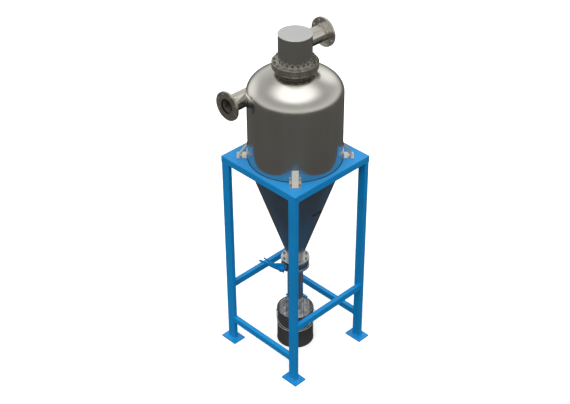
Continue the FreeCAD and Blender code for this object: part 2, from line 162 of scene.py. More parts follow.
# ---- pail ----
PAIL_WALL = 0.162          # a radius between the pail's inner and outer faces
PAIL_OUTER = 0.1635        # its outer face
PAIL_HOOP = 0.192          # height of the hoop
HOOP_REACH = 0.02          # the painted highlight is measured in this height, above and below the hoop
WORN = (0.11, 0.14)        # shares of it: painted highlight within the first, plain coat past the second
CROWN = (0.0020, 0.0026)   # and the highlight is painted only this far outside PAIL_WALL
PAIL_RIM = 0.341           # above this the rolled rim is painted near black as shade
CHIME_H = 0.0065           # the bottom edge's height
SEAM_GAP = 0.0001          # from the bottom edge to the seam's lower end
SEAM_DROP = 0.007          # the seam's upper end, below the pail's top
SUNK = 0.0005              # trim starts this far inside the wall that carries it
SEAM_AT = 200              # degrees
RIVET_DROP = 0.030         # ear rivets below the pail's top
RIVET_SIDE = 0.0088        # from the ear's middle
RIVET_HEAD = (0.0022, 0.0014)
RIVET_SEAT = 0.0019        # from the wall to just inside the ear's face

# ---- surfaces ----
EVEN = (1, 1, 1)           # grain, as the noise's stretch
DRAWN_UP = (1, 1, 0.1)
FINE = 0.0001              # depth of a fine bump
DUST_HEIGHT = 0.10


# ---------------------------------------------------------------- sizes read from the frame
def radius_of(node):
    low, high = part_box(node)
    return (high.x - low.x) / 2


def middle_and_half(node):
    low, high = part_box(node)
    return (low + high) / 2, (high - low) / 2


mounts = {m["name"]: m for m in frame["record"]["mounts"]}
vessel_r = radius_of("vessel_cylinder")
neck_r = radius_of("outlet_chamber")
pipe_r = radius_of("outlet_pipe")
top_flange_r = radius_of("neck_flange")
pcd_r = mounts["inlet_bolts"]["dims"]["pcd_mm"] / 2000
top_pcd_r = neck_r + TOP_PCD_GAP
inlet = Vector(mounts["inlet_bore"]["pos_m"])
outlet = Vector(mounts["outlet_bore"]["pos_m"])
bore_r = mounts["inlet_bore"]["dims"]["r_mm"] / 1000


# ---------------------------------------------------------------- studio
def patch(tree, coords, behind, towards, colour, edge, core):
    # A soft-edged round patch of colour in one direction; edge and core are its half angles.
    facing = tree.nodes.new("ShaderNodeVectorMath")
    facing.operation = "DOT_PRODUCT"
    facing.inputs[1].default_value = Vector(towards).normalized()
    tree.links.new(coords, facing.inputs[0])
    edge, core = (math.cos(math.radians(angle)) for angle in (edge, core))
    return mixed(tree, spread(tree, facing.outputs["Value"], 0, 1, edge, core), behind, colour)


def surroundings():
    # The metal reflects the room and its patches. The camera itself sees a plain white backdrop.
    world = bpy.data.worlds.new("studio")
    scene.world = world
    world.use_nodes = True
    tree = world.node_tree
    coords = tree.nodes.new("ShaderNodeTexCoord").outputs["Generated"]
    split = tree.nodes.new("ShaderNodeSeparateXYZ")
    tree.links.new(coords, split.inputs[0])
    ramp = tree.nodes.new("ShaderNodeValToRGB")
    for place, colour in ROOM[1:-1]:
        ramp.color_ramp.elements.new(place).color = (*colour, 1)
    ramp.color_ramp.elements[0].color = (*ROOM[0][1], 1)
    ramp.color_ramp.elements[-1].color = (*ROOM[-1][1], 1)
    tree.links.new(spread(tree, split.outputs["Z"], 0, 1, -1, 1), ramp.inputs[0])
    lit = ramp.outputs[0]
    for towards, colour, edge, core in PATCHES:
        lit = patch(tree, coords, lit, towards, colour, edge, core)
    seen = tree.nodes.new("ShaderNodeLightPath").outputs["Is Camera Ray"]
    lit = mixed(tree, seen, lit, (1, 1, 1))
    tree.links.new(lit, tree.nodes["Background"].inputs[0])


def studio():
    camera_data = bpy.data.cameras.new("camera")
    camera_data.sensor_width = 36
    camera_data.lens = CAMERA_LENS
    camera_data.shift_x = CAMERA_SHIFT
    camera_data.clip_end = 200
    camera = bpy.data.objects.new("camera", camera_data)
    camera.location = TARGET + TOWARDS_CAMERA * CAMERA_RANGE
    camera.rotation_euler = (-TOWARDS_CAMERA).to_track_quat("-Z", "Y").to_euler()
    scene.collection.objects.link(camera)
    scene.camera = camera
    scene.view_settings.view_transform = "Standard"

    sun_data = bpy.data.lights.new("key", "SUN")
    sun_data.energy = SUN_STRENGTH
    sun_data.angle = math.radians(SUN_WIDTH)
    sun = bpy.data.objects.new("key", sun_data)
    sun.rotation_euler = Vector(SUN_WAY).to_track_quat("-Z", "Y").to_euler()
    sun.visible_glossy = False
    scene.collection.objects.link(sun)

    surroundings()
    bm = bmesh.new()
    bmesh.ops.create_circle(bm, cap_ends=True, radius=FLOOR_R, segments=64)
    floor = mesh_object("floor", bm)
    floor.location.z = -FLOOR_DROP
    floor.visible_glossy = False
    floor.visible_diffuse = False
    material, tree, shader = blank("floor_pale")
    tint = ramp_of(tree, noise(tree, 0.8, 2), (0.90, 0.90, 0.90), (0.93, 0.93, 0.93))
    tree.links.new(tint, shader.inputs["Base Color"])
    shader.inputs["Roughness"].default_value = 0.9
    shader.inputs["Emission Color"].default_value = (1, 1, 1, 1)
    shader.inputs["Emission Strength"].default_value = 0.3
    floor.data.materials.append(material)


# ---------------------------------------------------------------- materials
def blank(name):
    material = bpy.data.materials.new(name)
    material.use_nodes = True
    tree = material.node_tree
    return material, tree, tree.nodes["Principled BSDF"]


def noise(tree, scale, detail=4, stretch=EVEN):
    coords = tree.nodes.new("ShaderNodeTexCoord")
    mapping = tree.nodes.new("ShaderNodeMapping")
    mapping.inputs["Scale"].default_value = stretch
    texture = tree.nodes.new("ShaderNodeTexNoise")
    texture.inputs["Scale"].default_value = scale
    texture.inputs["Detail"].default_value = detail
    tree.links.new(coords.outputs["Object"], mapping.inputs[0])
    tree.links.new(mapping.outputs[0], texture.inputs["Vector"])
    return texture.outputs["Fac"]


def ramp_of(tree, value, low, high, start=0.35, end=0.65):
    ramp = tree.nodes.new("ShaderNodeValToRGB")
    ramp.color_ramp.elements[0].position = start
    ramp.color_ramp.elements[1].position = end
    ramp.color_ramp.elements[0].color = (*low, 1)
    ramp.color_ramp.elements[1].color = (*high, 1)
    tree.links.new(value, ramp.inputs[0])
    return ramp.outputs[0]


def spread(tree, value, low, high, start=0.3, end=0.7):
    rescale = tree.nodes.new("ShaderNodeMapRange")
    for socket, number in (("From Min", start), ("From Max", end), ("To Min", low), ("To Max", high)):
        rescale.inputs[socket].default_value = number
    tree.links.new(value, rescale.inputs["Value"])
    return rescale.outputs[0]


def mixed(tree, factor, a, b):
    mix = tree.nodes.new("ShaderNodeMix")
    mix.data_type = "RGBA"
    if isinstance(factor, float):
        mix.inputs["Factor"].default_value = factor
    else:
        tree.links.new(factor, mix.inputs["Factor"])
    for socket, colour in ((mix.inputs[6], a), (mix.inputs[7], b)):
        if isinstance(colour, tuple):
            socket.default_value = (*colour, 1)
        else:
            tree.links.new(colour, socket)
    return mix.outputs[2]


def bump(tree, shader, value, depth, strength=0.5):
    node = tree.nodes.new("ShaderNodeBump")
    node.inputs["Distance"].default_value = depth
    node.inputs["Strength"].default_value = strength
    tree.links.new(value, node.inputs["Height"])
    tree.links.new(node.outputs[0], shader.inputs["Normal"])


def height_in(tree):
    # The height of a point of the surface above the floor.
    coords = tree.nodes.new("ShaderNodeTexCoord")
    split = tree.nodes.new("ShaderNodeSeparateXYZ")
    tree.links.new(coords.outputs["Object"], split.inputs[0])
    return split.outputs["Z"]


def times(tree, a, b):
    product = tree.nodes.new("ShaderNodeMath")
    product.operation = "MULTIPLY"
    tree.links.new(a, product.inputs[0])
    tree.links.new(b, product.inputs[1])
    return product.outputs[0]


def paint(name, low, high, roughness=0.42, dusty=True):
    # Satin machine paint: slight mottling, orange peel and a little dust near the floor.
    material, tree, shader = blank(name)
    colour = ramp_of(tree, noise(tree, 3.5, 5), low, high)
    if dusty:
        low_down = spread(tree, height_in(tree), 1, 0, 0, DUST_HEIGHT)
        dust = times(tree, low_down, spread(tree, noise(tree, 45, 6), 0, 0.20, 0.48, 0.72))
        colour = mixed(tree, dust, colour, (0.30, 0.36, 0.40))
    tree.links.new(colour, shader.inputs["Base Color"])
    tree.links.new(spread(tree, noise(tree, 22, 5), roughness - 0.06, roughness + 0.08),
                   shader.inputs["Roughness"])
    shader.inputs["Specular IOR Level"].default_value = 0.32
    bump(tree, shader, noise(tree, 420, 2), 0.0003, 0.25)
    return material


def metal(name, low, high, roughness, scale, clouds, grain=EVEN, depth=0, fine_share=0.3, bare=1):
    # Cloudy tone, grain drawn out along one direction, roughness that follows it; bare is under 1
    # where the finish is blasted and so partly diffuse.
    material, tree, shader = blank(name)
    shader.inputs["Metallic"].default_value = bare
    streaks = noise(tree, scale, 2, grain)
    broad = ramp_of(tree, noise(tree, clouds, 4), low, high, 0.3, 0.7)
    fine = ramp_of(tree, streaks, tuple(0.93 * c for c in low), high, 0.3, 0.7)
    tree.links.new(mixed(tree, fine_share, broad, fine), shader.inputs["Base Color"])
    tree.links.new(spread(tree, streaks, roughness - 0.04, roughness + 0.06), shader.inputs["Roughness"])
    if depth:
        bump(tree, shader, streaks, depth, 0.2)
    return material


def distance_from(tree, centre, axis):
    # How far a point of the surface is from an axis through centre, along one of X, Y, Z.
    coords = tree.nodes.new("ShaderNodeTexCoord")
    flat = tree.nodes.new("ShaderNodeMapping")
    flat.inputs["Location"].default_value = [0 if axis[k] else -centre[k] for k in range(3)]
    flat.inputs["Scale"].default_value = [0 if axis[k] else 1 for k in range(3)]
    length = tree.nodes.new("ShaderNodeVectorMath")
    length.operation = "LENGTH"
    tree.links.new(coords.outputs["Object"], flat.inputs[0])
    tree.links.new(flat.outputs[0], length.inputs[0])
    return length.outputs["Value"]


def turned_metal(name, centre, axis, low, high, roughness):
    # Lathe-turned metal: fine rings about its axis.
    material, tree, shader = blank(name)
    shader.inputs["Metallic"].default_value = 1
    rings = tree.nodes.new("ShaderNodeTexNoise")
    rings.noise_dimensions = "1D"
    rings.inputs["Scale"].default_value = 900
    rings.inputs["Detail"].default_value = 2
    tree.links.new(distance_from(tree, centre, axis), rings.inputs["W"])
    tree.links.new(ramp_of(tree, noise(tree, 18, 5), low, high), shader.inputs["Base Color"])
    tree.links.new(spread(tree, rings.outputs["Fac"], roughness - 0.06, roughness + 0.08),
                   shader.inputs["Roughness"])
    bump(tree, shader, rings.outputs["Fac"], 0.0002, 0.35)
    return material


def pipe_material(name, centre, axis, bore, low, high):
    # Drawn tube, brushed along its run, with a rougher, less metallic bore whose colour is painted dark
    # as shade; a level tube is painted darker below as shade.
    material, tree, shader = blank(name)
    grain = (1, 0.08, 1) if axis[1] else (1, 1, 0.08)
    streaks = noise(tree, 50, 3, grain)
    inside = spread(tree, distance_from(tree, centre, axis), 1, 0, bore + 0.0005, bore + 0.0015)
    outer = ramp_of(tree, streaks, low, high, 0.3, 0.7)
    # Painted shade: a level tube's lower part is darkened.
    if axis[1]:
        below = spread(tree, height_in(tree), 1, 0, centre[2] - 0.4 * bore, centre[2] - 0.05 * bore)
        outer = mixed(tree, below, outer, (0.13, 0.125, 0.115))
    # Painted shade: the bore's colour is dark for the shade inside the tube.
    inner = ramp_of(tree, noise(tree, 25, 5), (0.09, 0.08, 0.066), (0.17, 0.155, 0.13))
    tree.links.new(mixed(tree, inside, outer, inner), shader.inputs["Base Color"])
    tree.links.new(spread(tree, inside, 1, 0.35, 0, 1), shader.inputs["Metallic"])
    tree.links.new(spread(tree, inside, 0.20, 0.5, 0, 1), shader.inputs["Roughness"])
    bump(tree, shader, streaks, 0.00003, 0.2)
    return material


def pail_material():
    # Dark coated outside, bright tinned inside, with a painted highlight along the hoop's crown and
    # painted shade on the rolled rim.
    material, tree, shader = blank("pail_sheet")
    across = distance_from(tree, (0, 0, 0), UP)
    height = height_in(tree)
    inside = spread(tree, across, 1, 0, PAIL_WALL - 0.0002, PAIL_WALL + 0.0002)
    nearby = tree.nodes.new("ShaderNodeMath")
    nearby.operation = "ABSOLUTE"
    level = spread(tree, height, 1, -1, PAIL_HOOP - HOOP_REACH, PAIL_HOOP + HOOP_REACH)
    tree.links.new(level, nearby.inputs[0])
    crown = spread(tree, across, 0, 1, PAIL_WALL + CROWN[0], PAIL_WALL + CROWN[1])
    # Painted highlight: a near-white band along the crown of the hoop.
    worn = times(tree, spread(tree, nearby.outputs[0], 1, 0, *WORN), crown)
    outer = ramp_of(tree, noise(tree, 9, 5), (0.050, 0.049, 0.049), (0.070, 0.068, 0.066))
    outer = mixed(tree, worn, outer, (0.95, 0.95, 0.94))
    inner = ramp_of(tree, noise(tree, 16, 1, (1, 1, 0.001)), (0.50, 0.505, 0.52), (1, 1, 1), 0.42, 0.54)
    # Painted shade: the rolled rim above PAIL_RIM is near black, for its dark outline.
    top = spread(tree, height, 0, 1, PAIL_RIM - 0.001, PAIL_RIM)
    sheet = mixed(tree, inside, outer, inner)
    tree.links.new(mixed(tree, top, sheet, (0.008, 0.008, 0.008)), shader.inputs["Base Color"])
    bump(tree, shader, noise(tree, 30, 0, (1, 1, 0.001)), 0.0002, 0.03)
    tree.links.new(spread(tree, inside, 0.1, 0.85, 0, 1), shader.inputs["Metallic"])
    shader.inputs["Specular IOR Level"].default_value = 0.25
    tree.links.new(spread(tree, inside, 0.40, 0.06, 0, 1), shader.inputs["Roughness"])
    return material


def iron_material():
    material, tree, shader = blank("coated_casting")
    tree.links.new(ramp_of(tree, noise(tree, 16, 6), (0.030, 0.045, 0.060), (0.055, 0.075, 0.095)),
                   shader.inputs["Base Color"])
    tree.links.new(spread(tree, noise(tree, 60, 4), 0.42, 0.6), shader.inputs["Roughness"])
    bump(tree, shader, noise(tree, 300, 4), 0.0006, 0.5)
    return material


def rubber_material():
    material, tree, shader = blank("gasket_rubber")
    tree.links.new(ramp_of(tree, noise(tree, 80, 4), (0.012, 0.012, 0.012), (0.03, 0.03, 0.03)),
                   shader.inputs["Base Color"])
    shader.inputs["Roughness"].default_value = 0.75
    bump(tree, shader, noise(tree, 500, 3), 0.0003, 0.4)
    return material


# Painted light: the top plate wears a slightly lighter, less saturated copy of the frame's blue for its
# upward face.
deck_blue = paint("deck_paint_lit", (0.014, 0.245, 0.60), (0.017, 0.275, 0.655))
blue = paint("blue_paint", (0.002, 0.235, 0.59), (0.003, 0.265, 0.65))
lever_blue = paint("lever_paint", (0.002, 0.205, 0.56), (0.005, 0.25, 0.63), 0.34, False)
polished = metal("polished_stainless", (0.57, 0.56, 0.53), (0.64, 0.63, 0.60), 0.19, 12, 2.2,
                 DRAWN_UP, fine_share=0.2)
satin = metal("satin_stainless", (0.56, 0.56, 0.54), (0.61, 0.61, 0.59), 0.15, 20, 4,
              DRAWN_UP, fine_share=0.1)
lid_steel = metal("lid_stainless", (0.46, 0.465, 0.47), (0.50, 0.505, 0.51), 0.36, 20, 5,
                  fine_share=0.15, bare=0.35)
# Painted shade: the cone's steel is darker than the cylinder's, for the shade on its downward faces.
cone_steel = metal("cone_stainless", (0.38, 0.385, 0.39), (0.45, 0.455, 0.46), 0.34, 14, 2.6,
                   DRAWN_UP, fine_share=0.15)
pickled = metal("pickled_stainless", (0.80, 0.785, 0.75), (0.88, 0.865, 0.83), 0.30, 60, 20, depth=FINE)
bolt_steel = metal("bolt_steel", (0.34, 0.33, 0.30), (0.54, 0.52, 0.48), 0.30, 180, 40, depth=FINE)
# Near-black weld steel: painted shade along the top of each lug's strap.
burnt_weld = metal("burnt_weld", (0.08, 0.075, 0.07), (0.20, 0.18, 0.16), 0.42, 240, 60, depth=FINE)
weld_steel = metal("weld_steel", (0.46, 0.45, 0.42), (0.62, 0.60, 0.56), 0.30, 240, 60, depth=FINE)
wire_steel = metal("bright_wire", (0.70, 0.70, 0.70), (0.90, 0.90, 0.90), 0.18, 120, 30, depth=FINE)
iron = iron_material()
rubber = rubber_material()
pail_sheet = pail_material()
turned = turned_metal("turned_stainless", (0, 0, 0), UP,
                      (0.36, 0.345, 0.305), (0.48, 0.465, 0.42), 0.34)
valve_plates = turned_metal("valve_plates", (0, 0, 0), UP,
                            (0.70, 0.70, 0.69), (0.86, 0.86, 0.85), 0.28)
inlet_plate = turned_metal("inlet_plate", inlet, ALONG_Y,
                           (0.48, 0.46, 0.41), (0.62, 0.60, 0.54), 0.26)
outlet_plate = turned_metal("outlet_plate", outlet, ALONG_Y,
                            (0.58, 0.57, 0.52), (0.74, 0.73, 0.68), 0.26)
warm = ((0.60, 0.58, 0.53), (0.80, 0.78, 0.72))
# Painted reflection: the drop tube's steel is tinted blue for the blue frame round it.
cool = ((0.40, 0.47, 0.56), (0.50, 0.58, 0.68))
inlet_tube = pipe_material("inlet_tube", inlet, ALONG_Y, bore_r, *warm)
outlet_tube = pipe_material("outlet_tube", outlet, ALONG_Y, bore_r, *warm)
drop_tube = pipe_material("drop_tube", (0, 0, 0), UP, bore_r, *cool)

# The starts of the nodes' names, and what they wear.
NODE_LOOKS = [
    (("top_plate",), deck_blue),
    (("leg_", "foot_plate_", "top_rail_", "brace_"), blue),
    (("support_lug_",), pickled),
    (("vessel_cylinder", "vessel_head"), polished),
    (("vessel_cone",), cone_steel),
    (("outlet_neck", "outlet_chamber"), satin),
    (("chamber_lid",), lid_steel),
    (("inlet_pipe",), inlet_tube),
    (("outlet_pipe",), outlet_tube),
    (("drop_pipe",), drop_tube),
    (("inlet_flange",), inlet_plate),
    (("outlet_flange",), outlet_plate),
    (("cone_flange", "lower_flange"), valve_plates),
    (("neck_flange", "chamber_flange", "valve_stem", "valve_disc"), turned),
    (("valve_body",), iron),
    (("notch_plate", "valve_lever", "lever_latch"), lever_blue),
    (("pail_body",), pail_sheet),
    (("pail_bail",), wire_steel),
]
for name, node in nodes.items():
    look = next(material for starts, material in NODE_LOOKS if name.startswith(starts))
    node.data.materials.clear()
    node.data.materials.append(look)


# ---------------------------------------------------------------- mesh building
def mesh_object(name, bm):
    mesh = bpy.data.meshes.new(name)
    bm.to_mesh(mesh)
    bm.free()
    piece = bpy.data.objects.new(name, mesh)
    scene.collection.objects.link(piece)
    return piece


def finish_piece(name, bm, material, body="separator", crease=35):
    # Makes the piece and gives it its look and its body.
    bmesh.ops.remove_doubles(bm, verts=bm.verts, dist=1e-6)
    bmesh.ops.recalc_face_normals(bm, faces=bm.faces)
    piece = mesh_object(name, bm)
    piece.data.materials.append(material)
    piece.data.shade_smooth()
    piece.data.set_sharp_from_angle(angle=math.radians(crease))
    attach(piece, body)


def axes_of(axis):
    # Two directions square to an axis and to each other, and the axis itself.
    w = Vector(axis).normalized()
    u = ALONG_X if abs(w.x) < 0.9 else UP
    u = (u - w * u.dot(w)).normalized()
    return u, w.cross(u), w


def skin(bm, rings, closed_ring=True, closed_path=True):
    # Joins rings of points, each to the next.
    rings = [[bm.verts.new(p) for p in ring] for ring in rings]
    count = len(rings)
    width = len(rings[0])
    for i in range(count if closed_path else count - 1):
        here, after = rings[i], rings[(i + 1) % count]
        for k in range(width if closed_ring else width - 1):
            m = (k + 1) % width
            bm.faces.new((here[k], after[k], after[m], here[m]))
    if not closed_path:
        bm.faces.new(rings[0])
        bm.faces.new(rings[-1])


def lathe(bm, profile, origin, axis, steps=32):
    # profile holds (radius, distance along the axis) points of a closed outline.
    u, v, w = axes_of(axis)
    rings = []
    for i in range(steps):
        a = 2 * math.pi * i / steps
        d = u * math.cos(a) + v * math.sin(a)
        rings.append([Vector(origin) + d * r + w * h for r, h in profile])
    skin(bm, rings)


def hexagon(bm, origin, axis, across, height, hole, facing, double=False):
    # A hex nut or head with chamfered corners; facing is a direction one flat looks along, and
    # double chamfers both ends.
    w = Vector(axis).normalized()
    u = (Vector(facing) - w * w.dot(Vector(facing))).normalized()
    v = w.cross(u)
    half = across / 2
    rings = []
    for i in range(36):
        a = 2 * math.pi * i / 36
        off = (a + math.pi / 6) % (math.pi / 3) - math.pi / 6
        r = half / math.cos(off)
        cut = (r - half) * HEX_SLOPE + HEX_CUT
        low = [(HEX_FACE * half, 0), (r, cut)] if double else [(r, 0)]
        profile = [(hole, 0), *low, (r, height - cut), (HEX_FACE * half, height), (hole, height)]
        d = u * math.cos(a) + v * math.sin(a)
        rings.append([Vector(origin) + d * x + w * h for x, h in profile])
    skin(bm, rings)


def stud(bm, origin, axis, radius, length, thread):
    # A rod with a thread of that length at each end, and chamfered tips.
    turns = max(1, round(thread / PITCH))
    ridges = []
    for k in range(turns):
        ridges += [(radius - THREAD_DEPTH, PITCH * (k + 0.5)), (radius, PITCH * (k + 1))]
    profile = [(0, 0), (radius - TIP_CHAMFER, 0), *ridges]
    profile += [(r, length - h) for r, h in reversed(ridges)]
    profile += [(radius - TIP_CHAMFER, length), (0, length)]
    lathe(bm, profile, origin, axis, 18)


def washer(bm, origin, axis, radius, hole, t=WASHER_T):
    profile = [(hole, 0), (radius, 0), (radius, t - WASHER_EDGE), (radius - WASHER_EDGE, t), (hole, t)]
    lathe(bm, profile, origin, axis)


def bead(bm, points, radius, closed=True):
    # A weld bead along points, scalloped like real weld ripples.
    count = len(points)
    rings = []
    run = 0.0
    for i, p in enumerate(points):
        before = points[i - 1] if closed or i else p
        after = points[(i + 1) % count] if closed or i < count - 1 else p
        run += (p - before).length
        t = (after - before).normalized()
        u = t.orthogonal().normalized()
        v = t.cross(u)
        r = radius * (1 + RIPPLE_SHARE * math.sin(2 * math.pi * run / BEAD_RIPPLE))
        rings.append([p + (u * math.cos(a) + v * math.sin(a)) * r
                      for a in (math.pi * k / 4 for k in range(8))])
    align(rings)
    skin(bm, rings, True, closed)


def align(rings):
    # Turns each ring so that its first point follows the one before.
    for i in range(1, len(rings)):
        first = rings[i - 1][0]
        best = min(range(8), key=lambda k: (rings[i][k] - first).length)
        rings[i] = rings[i][best:] + rings[i][:best]


def circle_points(centre, axis, radius, step=0.0012):
    u, v, _ = axes_of(axis)
    count = max(24, round(2 * math.pi * radius / step))
    return [Vector(centre) + (u * math.cos(a) + v * math.sin(a)) * radius
            for a in (2 * math.pi * k / count for k in range(count))]


def loop_points(centre, half_a, half_b, a, b, corner=0.004, step=0.0012):
    # A rounded rectangle round centre, half_a along a and half_b along b.
    a, b = Vector(a), Vector(b)
    out = []
    for sa, sb, start in ((1, 1, 0), (-1, 1, 90), (-1, -1, 180), (1, -1, 270)):
        mid = Vector(centre) + a * sa * (half_a - corner) + b * sb * (half_b - corner)
        for k in range(5):
            t = math.radians(start + 22.5 * k)
            out.append(mid + a * math.cos(t) * corner + b * math.sin(t) * corner)
    dense = []
    for p, q in zip(out, out[1:] + out[:1]):
        pieces = max(1, round((q - p).length / step))
        dense += [p.lerp(q, k / pieces) for k in range(pieces)]
    return dense


# ---------------------------------------------------------------- fasteners
def outwards(degrees):
    # The direction away from the vessel's axis at that angle, and the one square to it.
    a = math.radians(degrees)
    return Vector((math.cos(a), math.sin(a), 0)), Vector((-math.sin(a), math.cos(a), 0))


def around(count, radius, z):
    # Places that straddle the axes on a bolt circle about the vessel's axis.
    turns = (2 * math.pi * (k + 0.5) / count for k in range(count))
    return [Vector((radius * math.cos(a), radius * math.sin(a), z)) for a in turns]


def flange_bolts(name, count, pitch_r, size, low, high):
    # Studs of one size, with a nut and washer at each end, through a stack from low to high.
    steel, nuts = bmesh.new(), bmesh.new()
    nut = NUT_H * size
    thread = STUD_THREAD * size
    reach = WASHER_T + nut + thread
    for p in around(count, pitch_r, 0):
        out = Vector((p.x, p.y, 0))
        for z, way in ((high, UP), (low, -UP)):
            at = Vector((p.x, p.y, z))
            washer(steel, at, way, WASHER_R * size, size / 2 + WASHER_PLAY)
            hexagon(nuts, at + way * WASHER_T, way, NUT_ACROSS * size, nut, size / 2, out, True)
        base = Vector((p.x, p.y, low - reach))
        stud(nuts, base, UP, size / 2, high - low + 2 * reach, thread)
    finish_piece(name + "_washers", steel, bolt_steel, crease=30)
    finish_piece(name + "_studs", nuts, bolt_steel, crease=25)


def gasket(name, radius, z):
    bm = bmesh.new()
    outer = radius - GASKET_INSET
    inner = outer - GASKET_WIDTH
    half = GASKET_T / 2
    profile = [(inner, -half), (outer, -half), (outer, half), (inner, half)]
    lathe(bm, profile, (0, 0, z), UP, 96)
    finish_piece(name, bm, rubber)


def lug_bolts():
    bm = bmesh.new()
    deck_low, deck_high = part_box("top_plate")
    for angle in CORNERS:
        out, side = outwards(angle)
        for s in (-1, 1):
            p = out * (vessel_r + LUG_BOLT_REACH) + side * (LUG_BOLT_HALF * s)
            top = p + UP * (deck_high.z + LUG_T)
            under = p + UP * deck_low.z
            washer(bm, top, UP, LUG_WASHERS[0], LUG_WASHER_HOLE, LUG_WASHER_T)
            hexagon(bm, top + UP * LUG_WASHER_T, UP, LUG_NUT_ACROSS, LUG_HEAD_H, 0.0, side)
            washer(bm, under, -UP, LUG_WASHERS[1], LUG_WASHER_HOLE, LUG_WASHER_T)
            hexagon(bm, under - UP * LUG_WASHER_T, -UP, LUG_NUT_ACROSS, LUG_NUT_H, LUG_NUT_HOLE,
                    side, True)
            stud(bm, under - UP * LUG_BOLT_TAIL, UP, LUG_BOLT_R, LUG_BOLT_LENGTH, LUG_BOLT_THREAD)
    finish_piece("lug_bolts", bm, bolt_steel, crease=25)


# ---------------------------------------------------------------- welds and trim
def vessel_welds():
    bm = bmesh.new()
    bead(bm, circle_points((0, 0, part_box("neck_flange")[0].z), UP, neck_r), BEAD)
    bead(bm, circle_points((0, 0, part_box("chamber_flange")[1].z), UP, neck_r), BEAD)
    bead(bm, circle_points((0, 0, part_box("cone_flange")[1].z), UP, pipe_r), BEAD)
    bead(bm, circle_points((0, 0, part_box("lower_flange")[0].z), UP, pipe_r), BEAD)
    bead(bm, circle_points((inlet.x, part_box("inlet_flange")[1].y, inlet.z), ALONG_Y, pipe_r), BEAD)
    bead(bm, circle_points((0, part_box("outlet_flange")[0].y, outlet.z), ALONG_Y, pipe_r), BEAD)
    # Saddles, where a pipe along Y meets an upright wall.
    for mouth, wall_r, way in ((inlet, vessel_r, -1), (outlet, neck_r, 1)):
        saddle = []
        for p in circle_points((mouth.x, 0, mouth.z), ALONG_Y, pipe_r):
            saddle.append(Vector((p.x, way * math.sqrt(wall_r ** 2 - p.x ** 2), p.z)))
        bead(bm, saddle, BEAD)
    # The neck on the domed head.
    bead(bm, circle_points((0, 0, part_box("outlet_neck")[0].z + NECK_SEAT), UP, neck_r), BEAD)
    finish_piece("vessel_welds", bm, weld_steel, crease=60)


def frame_welds():
    bm = bmesh.new()
    for side in ("front_left", "front_right", "rear_left", "rear_right"):
        mid, half = middle_and_half("leg_" + side)
        for end in (-1, 1):
            at = mid + UP * end * half.z
            bead(bm, loop_points(at, half.x, half.y, ALONG_X, ALONG_Y), BEAD)
    for name in ("front", "rear", "left", "right"):
        mid, half = middle_and_half("brace_" + name)
        for end in (-1, 1):
            if half.x > half.y:
                at = mid + ALONG_X * end * half.x
                bead(bm, loop_points(at, half.y, half.z, ALONG_Y, UP), BEAD)
            else:
                at = mid + ALONG_Y * end * half.y
                bead(bm, loop_points(at, half.x, half.z, ALONG_X, UP), BEAD)
    finish_piece("frame_welds", bm, blue, crease=60)


def lug_welds():
    # Fillets round each lug's upstand and along both ends of its strap; the upper one is near black,
    # painted shade along the strap's top.
    clean, burnt = bmesh.new(), bmesh.new()
    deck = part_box("top_plate")[1].z
    sweep = [LUG_HALF * k / 24 for k in range(-24, 25)]
    narrow = [STRAP_HALF * k / 14 for k in range(-14, 15)]
    heights = [deck + LUG_RISE * k / 14 for k in range(1, 14)]
    for angle in CORNERS:
        out, side = outwards(angle)
        wall = [side * -LUG_HALF + out * on_wall(LUG_HALF) + UP * z for z in heights]
        wall += [side * x + out * on_wall(x) + UP * (deck + LUG_RISE) for x in sweep]
        wall += [side * LUG_HALF + out * on_wall(LUG_HALF) + UP * z for z in reversed(heights)]
        bead(clean, wall, BEAD, False)
        bead(burnt, [side * x + out * on_wall(x) + UP * (deck + STRAP_RISE) for x in narrow],
             STRAP_BEAD, False)
        bead(clean, [side * x + out * (vessel_r + STRAP_FOOT) + UP * (deck + LUG_T) for x in narrow],
             FOOT_BEAD, False)
    finish_piece("lug_welds", clean, weld_steel, crease=60)
    finish_piece("strap_welds", burnt, burnt_weld, crease=60)


def on_wall(x):
    # How far out the vessel's wall is, x to the side of a lug's middle.
    return math.sqrt(vessel_r ** 2 - x ** 2)


def lid_edge():
    # The lid's plate is welded on and dressed to a smooth round edge, in brighter steel than the plate:
    # a painted highlight along the rim.
    bm = bmesh.new()
    low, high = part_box("chamber_lid")
    r = (high.z - low.z) / 2
    profile = [(neck_r - LID_LIP + (r + LID_SWELL) * math.cos(a), r + (r - LID_TUCK) * math.sin(a))
               for a in (math.radians(t) for t in range(-90, 91, 15))]
    lathe(bm, profile, (0, 0, low.z), UP, 128)
    finish_piece("lid_edge", bm, wire_steel, crease=60)


def deck_seal():
    # A thin dark strip in the gap between the vessel and the deck: painted shade, so that the gap reads
    # black.
    bm = bmesh.new()
    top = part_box("top_plate")[1].z
    inner = vessel_r + SEAL_GAP
    outer = inner + SEAL_WIDTH
    shank = outer - SEAL_LIP
    shoulder = SEAL_RISE - SEAL_ROUND
    profile = [(inner, -SEAL_DROP), (inner, shoulder), (inner + SEAL_ROUND, SEAL_RISE),
               (outer - SEAL_ROUND, SEAL_RISE), (outer, shoulder), (outer, 0.0001),
               (shank, 0.0001), (shank, -SEAL_DROP)]
    lathe(bm, profile, (0, 0, top), UP, 192)
    finish_piece("deck_seal", bm, rubber)


def cone_slot():
    # A short dark bead along an arc of the cone's +X side.
    bm = bmesh.new()
    low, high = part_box("vessel_cone")
    taper = low.z + CONE_STUB
    r = pipe_r + (vessel_r - pipe_r) * (SLOT_Z - taper) / (high.z - taper)
    half = math.radians(SLOT_HALF)
    arc = [Vector((r * math.cos(a), r * math.sin(a), SLOT_Z))
           for a in (half * k / 40 for k in range(-40, 41))]
    bead(bm, arc, SLOT_R, False)
    finish_piece("cone_slot", bm, rubber, crease=60)


